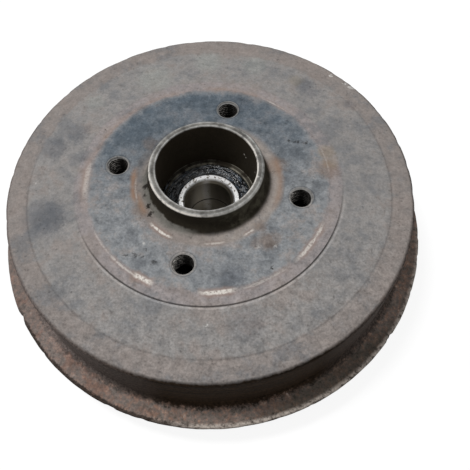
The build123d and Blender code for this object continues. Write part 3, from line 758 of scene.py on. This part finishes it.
class BrakeDrumLook(bpy.types.PropertyGroup):
    """Colours of the finishes."""

    collar_top: colour_code("Spigot top", "Bare steel-grey top of the spigot", "#989896")
    collar_mid: colour_code("Spigot top, middle", "Darker line along the spigot's top", "#716f6b")
    collar_edge: colour_code("Spigot edge", "Outer edge of the spigot's top", "#7b7a76")
    foot_rust: colour_code("Foot rust", "Rust round the spigot's foot", "#968e88")
    seat_iron: colour_code("Seat", "Wheel seat in the light", "#8f9193")
    # Painted reflection: the darker blue-grey painted over one half of the wheel's seat.
    seat_reflection: colour_code("Seat, dark side", "Blue-grey half of the wheel seat", "#5b656e")
    band_rust: colour_code("Brown band", "Ring round the wheel seat", "#989190")
    face_iron: colour_code("Cast face", "Grey ring between the turned lines", "#918e8c")
    outer_rust: colour_code("Outer band", "Brown-grey ring at the shoulder", "#8e8783")
    stain_brown: colour_code("Brown stain", "Brown patches on the faces", "#8a817c")
    stain_cool: colour_code("Cool stain", "Blue-green patches on the faces", "#7b7d80")
    cool_patch: colour_code("Cool patches", "Dark blue-grey patches on the top", "#565b63")
    rust_patch: colour_code("Rust patches", "Rusty patches on the top", "#7b6452")
    pale_patch: colour_code("Pale patches", "Greenish grey patches on the face", "#979a96")
    ochre_patch: colour_code("Ochre patches", "Yellowish stains at the seat's edge", "#86795f")
    pit: colour_code("Pits", "Dirt in small pits and scratches", "#24201d")
    speck: colour_code("Specks", "Small knocks, bright", "#dcdad6")
    rust_line: colour_code("Rust lines", "Rust along the turned edges of the spigot's foot", "#9a7a62")
    arc_border: colour_code("Rubbed edges' border", "Pinkish brown beside the bright edges", "#98837a")
    # Dirt on the side wall, painted darker to stand for the shade it lies in as well.
    side_dirt_and_shade: colour_code("Side wall", "Oily dirt on the side wall", "#1e1711")
    side_dust: colour_code("Side wall, dusty", "Where the side wall's dirt is dry", "#756b67")
    # Lighter turning rings, still painted dark for the shade the wall lies in.
    side_rings_and_shade: colour_code("Side wall rings", "Lighter rings on the side wall", "#30251b")
    # Dirt on the spigot's outside, painted darker for the shade it lies in as well.
    spigot_dirt_and_shade: colour_code("Spigot side", "Dirt on the spigot's outside", "#2a261f")
    # Painted light: the foot of the spigot, painted lighter on the lit side.
    flare_painted_light: colour_code("Spigot foot, clean", "Greenish grey where the foot of the spigot is clean", "#74726c")
    spigot_light: colour_code("Spigot side, light", "Lighter streaks on the spigot's outside", "#4f4c41")
    lip_dark: colour_code("Lip, dark rust", "Darkest rust on the lip", "#564b43")
    # Painted shade on the lip's outer face; also the colour of the dark band along its edge.
    lip_edge_shade: colour_code("Lip, edge", "Shadowed dirt on the lip's edge", "#2b2420")
    # Painted highlight along the lip's edge on its shadowed side.
    lip_rim_highlight: colour_code("Lip, knocked edge", "Pale knocks along the lip's edge", "#b5aba2")
    lip_fresh: colour_code("Lip, fresh rust", "Orange patches on the lip", "#8a5f49")
    lip_grey: colour_code("Lip, grey", "Grey scale on the lip", "#787069")
    lip_brown: colour_code("Lip, brown", "Brown rust on the lip", "#7e7069")
    lip_orange: colour_code("Lip, orange", "Fresh rust on the lip", "#8a7061")
    lip_pale: colour_code("Lip, pale", "Pale scale on the lip", "#9a8d85")
    # Painted shadow of the drum on the lip.
    lip_shadow: colour_code("Lip, damp side", "Oily dark rust on the lip", "#48433b")
    lip_dry: colour_code("Lip, dry side", "Dry dusty rust on the lip", "#8d827e")
    track_dark: colour_code("Shoe track, dark", "Scores in the shoe track", "#6f6c68")
    track_light: colour_code("Shoe track", "Bare iron of the shoe track", "#98958f")
    inside_dark: colour_code("Inside, dark", "Casting skin inside, in dark patches", "#4a4039")
    inside_light: colour_code("Inside", "Casting skin inside", "#6b5d52")
    grease_film: colour_code("Grease film", "Thin grease on metal", "#312b22")
    # Dark colour in the roots of the bolt threads.
    thread_dark: colour_code("Thread", "Dirt in the bolt threads", "#100e0c")
    # Painted highlight on the thread crests.
    thread_crest_highlight: colour_code("Thread crest", "Wiped crests of the threads", "#dcd7d0")
    hole_rim: colour_code("Hole rim", "Wiped metal round the bolt holes", "#a09b95")
    # Bright iron of the rubbed edges, painted near white as their highlight; also the colour of the painted
    # highlights on the spigot's top.
    bright_iron_and_highlight: colour_code("Bright iron", "Edges rubbed bright", "#e8e2da")
    bearing_steel: colour_code("Bearing steel", "Ground steel of the bearing", "#eeeeee")
    steel_film: colour_code("Film on steel", "Brown film of old grease on steel", "#766f62")
    ball_shade: colour_code("Ball shade", "Greasy patches on the balls", "#8a8a88")
    clip_steel: colour_code("Retaining ring", "Phosphated spring steel", "#3f3b33")
    clip_wiped: colour_code("Retaining ring, wiped", "Where the grease is wiped off", "#a5a092")
    rubber: colour_code("Seal rubber", "Black nitrile rubber", "#141414")
    cage_dirty: colour_code("Cage, dirty", "Polyamide under old grease", "#6d5a3a")
    cage_clean: colour_code("Cage", "Polyamide", "#b9a983")
    grease: colour_code("Grease", "Old black grease", "#0b0a0a")
    # Painted reflection: bluish glints painted on the grease.
    grease_glint: colour_code("Grease, thin", "Bluish where the grease lies thin", "#505d6a")
    grit: colour_code("Grit", "Grit in the grease", "#6a6a6a")
    floor: colour_code("Floor", "Pale studio floor", "#f2f2f2")


# ---- The casting ---------------------------------------------------------------------------------
def distance_to_run(point, start, end):
    """Distance from a point to a straight run of the section."""
    run = Vector(end) - Vector(start)
    t = max(0.0, min(1.0, (Vector(point) - Vector(start)).dot(run) / max(run.length_squared, 1e-12)))
    return (Vector(point) - (Vector(start) + t * run)).length


def section_loop(bm):
    """The casting's half section as a closed wire with rounded corners and even spacing."""
    runs = [((r * MM, z * MM), (after[0] * MM, after[1] * MM), spacing * MM)
            for (r, z, _, spacing), after in zip(SECTION, SECTION[1:] + SECTION[:1])]
    corners = [bm.verts.new((r * MM, 0, z * MM)) for r, z, _, _ in SECTION]
    for a, b in zip(corners, corners[1:] + corners[:1]):
        bm.edges.new((a, b))
    for i, (r, z, fillet, _) in enumerate(SECTION):
        if not fillet:
            continue
        here = Vector((r, z))
        before = (Vector(SECTION[i - 1][:2]) - here).normalized()
        after = (Vector(SECTION[(i + 1) % len(SECTION)][:2]) - here).normalized()
        set_back = fillet / tan(before.angle(after) / 2)
        steps = CORNER_STEPS if fillet < WIDE_FILLET else 3 * CORNER_STEPS
        bmesh.ops.bevel(bm, geom=[corners[i]], offset=set_back * MM, offset_type="OFFSET", affect="VERTICES",
                        segments=steps, profile=0.5, material=-1)
    for edge in list(bm.edges):
        middle = (edge.verts[0].co + edge.verts[1].co) / 2
        nearest = min(runs, key=lambda run: distance_to_run((middle.x, middle.z), run[0], run[1]))
        cuts = round(edge.calc_length() / nearest[2]) - 1
        if cuts > 0:
            bmesh.ops.subdivide_edges(bm, edges=[edge], cuts=cuts)


def turn_round(bm, steps):
    """Turns the section in a bmesh once round the axis, to a closed skin that faces outwards."""
    bmesh.ops.spin(bm, geom=bm.verts[:] + bm.edges[:], cent=(0, 0, 0), axis=(0, 0, 1), dvec=(0, 0, 0),
                   angle=2 * pi, steps=steps, use_merge=True, use_duplicate=False)
    bmesh.ops.recalc_face_normals(bm, faces=bm.faces[:])


def reach(point, side):
    """How far a point lies towards one of the sides."""
    x, y, _ = towards(SIDES[side])
    return point.x * x + point.y * y


def weather(bm, shape):
    """Moves the vertices as rust, chips and the rough casting skin do, always inwards at the outline.

    Each noise reads millimetres divided by the size of its own lumps.
    """
    bm.normal_update()
    for v in bm.verts:
        mm = v.co / MM
        r, z = hypot(mm.x, mm.y), mm.z
        outward = Vector((mm.x, mm.y, 0)).normalized()
        if r > OUTSIDE_R and z < LIP_ROOT_Z:
            # The lip: scales of rust, and an edge that is chipped and wavy.
            rust = noise.fractal(mm / 5.5, 1.0, 2.0, 4)
            v.co += v.normal * (-0.5 + 0.5 * rust) * shape.lip_roughness * smooth(108.0, 110.5, r)
            chip = noise.noise(mm.xy.to_3d() / 9.0 + Vector((3.1, 0, 0))) * 0.9 + noise.noise(mm / 3.0) * 0.45
            wave = noise.noise(mm.xy.to_3d() / 34.0)
            depth = 0.8 * smooth(0.25, 0.85, chip) + 0.16 * smooth(-0.4, 0.5, wave)
            v.co -= outward * min(depth, 1.0) * shape.chip_depth * smooth(114.5, 119.0, r)
        elif r > SHOULDER_R:
            # The side wall: casting skin below, and knocks in the shoulder.
            skin = noise.fractal(mm / 9.0, 1.0, 2.0, 3)
            v.co += v.normal * (-0.6 + 0.6 * skin) * shape.wall_roughness * smooth(54.6, 52.0, z)
            worn = max(0.0, noise.noise(mm / 4.5)) + 0.6 * max(0.0, noise.noise(mm / 13.0))
            at_shoulder = smooth(50.0, 54.0, z) * smooth(SHOULDER_R, SHOULDER_R + 1.0, r)
            v.co -= outward * min(1.0, worn) * shape.shoulder_wear * at_shoulder
        elif abs(r - INNER_LINE_R) < 0.4 and TOP_Z < z < 58.2:
            # The inner turned line: filled with dirt away from the front.
            filled = smooth(50.0, 12.0, reach(mm, "front"))
            v.co.z += (INNER_LINE_RIM_Z - z) * 0.94 * filled * MM
        elif abs(r - OUTER_LINE_R) < 0.2 and z > TOP_Z:
            # The outer one: filled in part all round, and most of all on one side.
            filled = smooth(12.0, 64.0, reach(mm, "filled"))
            v.co.z += (OUTER_LINE_RIM_Z - z) * (0.65 + 0.3 * filled) * MM
        elif z > TOP_Z and r > 71.5:
            # The faces outside the inner line.
            skin = noise.fractal(mm / 11.0, 1.0, 2.0, 3)
            v.co += v.normal * skin * 0.4 * shape.wall_roughness
        elif z > WHEEL_FACE_Z - 1.0 and SEAT_INNER_R < r < SEAT_OUTER_R:
            # The wheel's seat.
            v.co.z += (-0.5 + 0.5 * noise.noise(mm / 6.0)) * 0.04 * MM
        elif z > 71.0:
            # The spigot's top.
            v.co += v.normal * (-0.5 + 0.5 * noise.noise(mm / 2.2)) * 0.18 * MM
    bm.normal_update()


def shade(mesh, crease):
    """Smooth shading, with edges sharper than the crease left sharp."""
    mesh.shade_smooth()
    mesh.set_sharp_from_angle(angle=radians(crease))


def finish_mesh(bm, name, material, body, crease):
    """Turns a bmesh into a piece that rides on a body."""
    piece = temporary(name, bm)
    piece.data.materials.append(material)
    shade(piece.data, crease)
    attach(piece, body)
    return piece


def temporary(name, bm):
    """An object made from a bmesh, which isn't a piece of the model yet."""
    mesh = bpy.data.meshes.new(name)
    bm.to_mesh(mesh)
    bm.free()
    made = bpy.data.objects.new(name, mesh)
    bpy.context.scene.collection.objects.link(made)
    return made


def tapped_hole_plugs(shape):
    """Closed plugs of the tapped holes: the thread's own form, opened by a cone at each mouth."""
    pitch, minor, major = shape.thread_pitch, shape.thread_minor / 2, shape.thread_major / 2
    low, high = (HOLE_BOTTOM_Z - PLUG_REACH) * MM, (WHEEL_FACE_Z + PLUG_REACH) * MM
    steps = round((high - low) / pitch * PLUG_ROWS)
    foot = Matrix.Translation((0, 0, low)) @ Matrix.Rotation(radians(PLUG_TURN), 4, "Z")
    bm = bmesh.new()
    bmesh.ops.create_circle(bm, cap_ends=False, radius=major, segments=PLUG_SIDES, matrix=foot)
    bmesh.ops.spin(bm, geom=bm.verts[:] + bm.edges[:], cent=(0, 0, 0), axis=(0, 0, 1), angle=0,
                   dvec=(0, 0, (high - low) / steps), steps=steps, use_merge=False, use_duplicate=False)
    bmesh.ops.holes_fill(bm, edges=[e for e in bm.edges if e.is_boundary], sides=0)
    for v in bm.verts:
        turned = v.co.z / pitch - atan2(v.co.y, v.co.x) / (2 * pi)
        from_crest = abs(2 * (turned % 1) - 1)
        up_flank = min(1.0, max(0.0, (from_crest - THREAD_FLAT) / (1 - 2 * THREAD_FLAT)))
        thread = minor + (major - minor) * up_flank
        mouth = HOLE_MOUTH_R * MM + max(v.co.z - WHEEL_FACE_Z * MM, HOLE_BOTTOM_Z * MM - v.co.z)
        v.co.xy = v.co.xy.normalized() * max(thread, mouth)
    bmesh.ops.recalc_face_normals(bm, faces=bm.faces[:])
    plug = bpy.data.meshes.new("plug")
    bm.to_mesh(plug)
    bm.free()
    plugs = bmesh.new()
    for turn in range(BOLT_COUNT):
        start = len(plugs.verts)
        plugs.from_mesh(plug)
        plugs.verts.ensure_lookup_table()
        around = Matrix.Rotation(turn * 2 * pi / BOLT_COUNT, 4, "Z")
        bmesh.ops.transform(plugs, matrix=around @ Matrix.Translation((BOLT_CIRCLE_R * MM, 0, 0)),
                            verts=plugs.verts[start:])
    bpy.data.meshes.remove(plug)
    return temporary("plugs", plugs)


def cut(target, tool):
    """Cuts the tool out of the target, and deletes it."""
    change = target.modifiers.new("cut", "BOOLEAN")
    change.operation, change.solver, change.object = "DIFFERENCE", "MANIFOLD", tool
    result = bpy.data.meshes.new_from_object(target.evaluated_get(bpy.context.evaluated_depsgraph_get()))
    target.modifiers.clear()
    spent = [target.data, tool.data]
    target.data = result
    bpy.data.objects.remove(tool)
    for mesh in spent:
        bpy.data.meshes.remove(mesh)


class BRAKEDRUM_OT_casting(bpy.types.Operator):
    """Turn the worn casting from its section, chip its lip and tap its wheel bolt holes"""

    bl_idname = "brakedrum.casting"
    bl_label = "Drum casting"

    def execute(self, context):
        shape, look = context.scene.brake_drum_shape, context.scene.brake_drum_look
        bm = bmesh.new()
        section_loop(bm)
        turn_round(bm, shape.segments)
        weather(bm, shape)
        open_edges = [e for e in bm.edges if not e.is_manifold]
        if open_edges:
            raise RuntimeError(f"the casting has {len(open_edges)} open edges")
        iron = grey_cast_iron(look)
        casting = finish_mesh(bm, "worn_casting", iron, "drum", CASTING_CREASE)
        cut(casting, tapped_hole_plugs(shape))
        if not casting.data.materials or casting.data.materials[0] is None:
            raise RuntimeError("the casting lost its material")
        shade(casting.data, CASTING_CREASE)
        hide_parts("drum_casting")
        return {"FINISHED"}


class BRAKEDRUM_OT_bearing(bpy.types.Operator):
    """Give the bearing's rings, balls, cages and seals and the retaining ring their finishes"""

    bl_idname = "brakedrum.bearing"
    bl_label = "Bearing finishes"

    def execute(self, context):
        look = context.scene.brake_drum_look
        ring_steel, ball_steel = ground_bearing_steel(look), polished_ball_steel(look)
        finishes = {
            "bearing_outer_ring": ring_steel,
            "bearing_inner_ring": ring_steel,
            "ball_cage": natural_polyamide(look),
            "ball_outboard": ball_steel,
            "ball_inboard": ball_steel,
            "bearing_seal": nitrile_rubber(look),
            "retaining_ring": greasy_spring_steel(look),
        }
        for name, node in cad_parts.items():
            for start, material in finishes.items():
                if name.startswith(start):
                    for slot in node.material_slots:
                        slot.material = material
        return {"FINISHED"}


class BRAKEDRUM_OT_grease(bpy.types.Operator):
    """Smear old grease over the outboard seal and part of the retaining ring"""

    bl_idname = "brakedrum.grease"
    bl_label = "Bearing grease"

    def execute(self, context):
        shape, look = context.scene.brake_drum_shape, context.scene.brake_drum_look
        # Its underside lies a little inside the seal.
        low = BEARING_TOP_Z - 0.45
        rise = shape.grease_height / MM
        outline = [(17.3, low), (25.85, low), (25.85, low + 0.9), (24.6, low + 0.7 * rise + 0.5),
                   (22.6, low + rise), (20.4, low + rise), (18.4, low + 0.75 * rise), (17.35, low + 0.35)]
        bm = bmesh.new()
        ring = [bm.verts.new((r * MM, 0, z * MM)) for r, z in outline]
        edges = [bm.edges.new((a, b)) for a, b in zip(ring, ring[1:] + ring[:1])]
        bmesh.ops.subdivide_edges(bm, edges=edges[2:7], cuts=6)
        bmesh.ops.subdivide_edges(bm, edges=edges[:2] + edges[7:], cuts=2)
        turn_round(bm, GREASE_STEPS)
        for v in bm.verts:
            mm = v.co / MM
            r, angle = hypot(mm.x, mm.y), atan2(mm.y, mm.x)
            up = smooth(low + 0.15, low + 0.7, mm.z)
            inner = smooth(17.4, 18.6, r)
            # Lumps drawn out round the axis, thicker over most of the retaining ring and wiped off a part.
            ringed = Vector((cos(angle) * 4.5, sin(angle) * 4.5, r * 0.9))
            lumps = noise.fractal(ringed, 0.6, 2.0, 3) * 0.45 + noise.noise(mm / 1.6) * 0.2
            bare = smooth(22.9, 23.7, r) * smooth(0.1, 0.55, cos(angle - radians(48)))
            over_clip = smooth(23.4, 25.2, r) * (0.55 + 1.3 * smooth(0.1, -0.5, cos(angle - radians(60))))
            v.co.z += (lumps + over_clip) * up * inner * (1 - bare) * MM
            v.co.z += min(0.0, (low + 0.2) * MM - v.co.z) * bare * up
        bmesh.ops.recalc_face_normals(bm, faces=bm.faces[:])
        finish_mesh(bm, "bearing_grease", old_black_grease(look), "drum", GREASE_CREASE)
        return {"FINISHED"}


# ---- Floor, light and camera ---------------------------------------------------------------------
def background_rays(n):
    """1 for the rays that show the background: the camera's own, and those off shiny or clear pieces."""
    rays = n("LightPath").outputs
    seen = rays["Is Camera Ray"]
    for kind in ("Is Glossy Ray", "Is Transmission Ray"):
        seen = n("Math", {0: seen, 1: rays[kind]}, operation="MAXIMUM")
    return seen


class BRAKEDRUM_OT_stage(bpy.types.Operator):
    """Set the pale floor, the soft studio light and the camera"""

    bl_idname = "brakedrum.stage"
    bl_label = "Floor, light and camera"

    def execute(self, context):
        scene, look = context.scene, context.scene.brake_drum_look
        scene.view_settings.view_transform = "Standard"
        bm = bmesh.new()
        bmesh.ops.create_grid(bm, x_segments=2, y_segments=2, size=3.0)
        floor = temporary("floor", bm)
        floor.data.materials.append(self.floor_material(look))
        self.sky(scene)
        self.lamp(scene, "key", azimuth=179, elevation=71, distance=1.6, size=0.25, power=13)
        self.camera(scene)
        return {"FINISHED"}

    def floor_material(self, look):
        """Matt pale floor, white to the camera away from the shadow and grey to the light it sends back."""
        material, n = new_material("pale_floor")
        plain = n("BsdfDiffuse", {"Color": (0.25, 0.25, 0.25, 1)})
        pale = n("BsdfDiffuse", {"Color": linear(look.floor)})
        glow = n("Emission", {"Color": (1, 1, 1, 1), "Strength": 1.1})
        # No glow under the drum, where the floor is in the dark.
        place = n("TexCoord").outputs["Object"]
        from_axis = n("VectorMath", {0: place}, operation="LENGTH").outputs["Value"]
        open_floor = n("MapRange", {0: from_axis, 1: 100 * MM, 2: 106 * MM, 4: 0.80})
        shown = n("MixShader", {0: open_floor, 1: pale, 2: glow})
        surface = n("MixShader", {0: background_rays(n), 1: plain, 2: shown})
        # Clear from below, so that the underside can be looked at.
        clear = n("BsdfTransparent")
        from_below = n("NewGeometry").outputs["Backfacing"]
        surface = n("MixShader", {0: from_below, 1: surface, 2: clear})
        n("OutputMaterial", {"Surface": surface})
        return material

    def sky(self, scene):
        """Even grey light from all round, which the camera sees as white."""
        world = bpy.data.worlds.new("studio")
        scene.world = world
        world.use_nodes = True
        world.node_tree.nodes.clear()
        n = partial(add, world.node_tree)
        strength = n("MapRange", {0: background_rays(n), 3: 0.42, 4: 1.0})
        light = n("Background", {"Color": (1, 1, 1, 1), "Strength": strength})
        n("OutputWorld", {"Surface": light})

    def lamp(self, scene, name, azimuth, elevation, distance, size, power):
        """Square soft box that looks at the drum."""
        data = bpy.data.lights.new(name, "AREA")
        data.shape, data.size, data.energy = "SQUARE", size, power
        made = bpy.data.objects.new(name, data)
        a, e = radians(azimuth), radians(elevation)
        place = Vector((cos(a) * cos(e), sin(a) * cos(e), sin(e))) * distance
        made.location = place
        made.rotation_euler = (-place).to_track_quat("-Z", "Y").to_euler()
        scene.collection.objects.link(made)

    def camera(self, scene):
        """Camera above the front of the drum, a little to the right and turned."""
        data = bpy.data.cameras.new("camera")
        made = bpy.data.objects.new("camera", data)
        scene.collection.objects.link(made)
        turn, rise, roll = radians(CAMERA_TURN), radians(CAMERA_RISE), radians(CAMERA_ROLL)
        back = Vector((sin(turn) * cos(rise), -cos(turn) * cos(rise), sin(rise)))
        right = Vector((cos(turn), sin(turn), 0))
        up = back.cross(right)
        right, up = cos(roll) * right + sin(roll) * up, -sin(roll) * right + cos(roll) * up
        pose = Matrix((right, up, back)).transposed().to_4x4()
        pose.translation = Vector(CAMERA_PLACE) * MM
        made.matrix_world = pose
        data.sensor_width, data.lens = SENSOR_WIDTH, SENSOR_WIDTH * FOCAL_PIXELS / FRAME_PIXELS
        data.shift_x = (FRAME_PIXELS / 2 - MIDDLE_PIXEL) / FRAME_PIXELS
        data.clip_start = 0.01
        scene.camera = made


class BRAKEDRUM_PT_panel(bpy.types.Panel):
    """Lists the steps that build the brake drum, with its sizes and colours"""

    bl_idname = "BRAKEDRUM_PT_panel"
    bl_label = "Brake drum"
    bl_space_type = "VIEW_3D"
    bl_region_type = "UI"
    bl_category = "Brake drum"

    def draw(self, context):
        for step in STEPS:
            self.layout.operator(step.bl_idname)
        for group in (context.scene.brake_drum_shape, context.scene.brake_drum_look):
            box = self.layout.box()
            for name in type(group).__annotations__:
                box.prop(group, name)


STEPS = (BRAKEDRUM_OT_stage, BRAKEDRUM_OT_casting, BRAKEDRUM_OT_bearing, BRAKEDRUM_OT_grease)
CLASSES = (BrakeDrumShape, BrakeDrumLook) + STEPS + (BRAKEDRUM_PT_panel,)


def register():
    for cls in CLASSES:
        bpy.utils.register_class(cls)
    bpy.types.Scene.brake_drum_shape = bpy.props.PointerProperty(type=BrakeDrumShape)
    bpy.types.Scene.brake_drum_look = bpy.props.PointerProperty(type=BrakeDrumLook)


def unregister():
    del bpy.types.Scene.brake_drum_look
    del bpy.types.Scene.brake_drum_shape
    for cls in reversed(CLASSES):
        bpy.utils.unregister_class(cls)


def main():
    register()
    bpy.ops.brakedrum.stage()
    bpy.ops.brakedrum.casting()
    bpy.ops.brakedrum.bearing()
    bpy.ops.brakedrum.grease()


if __name__ == "__main__":
    main()
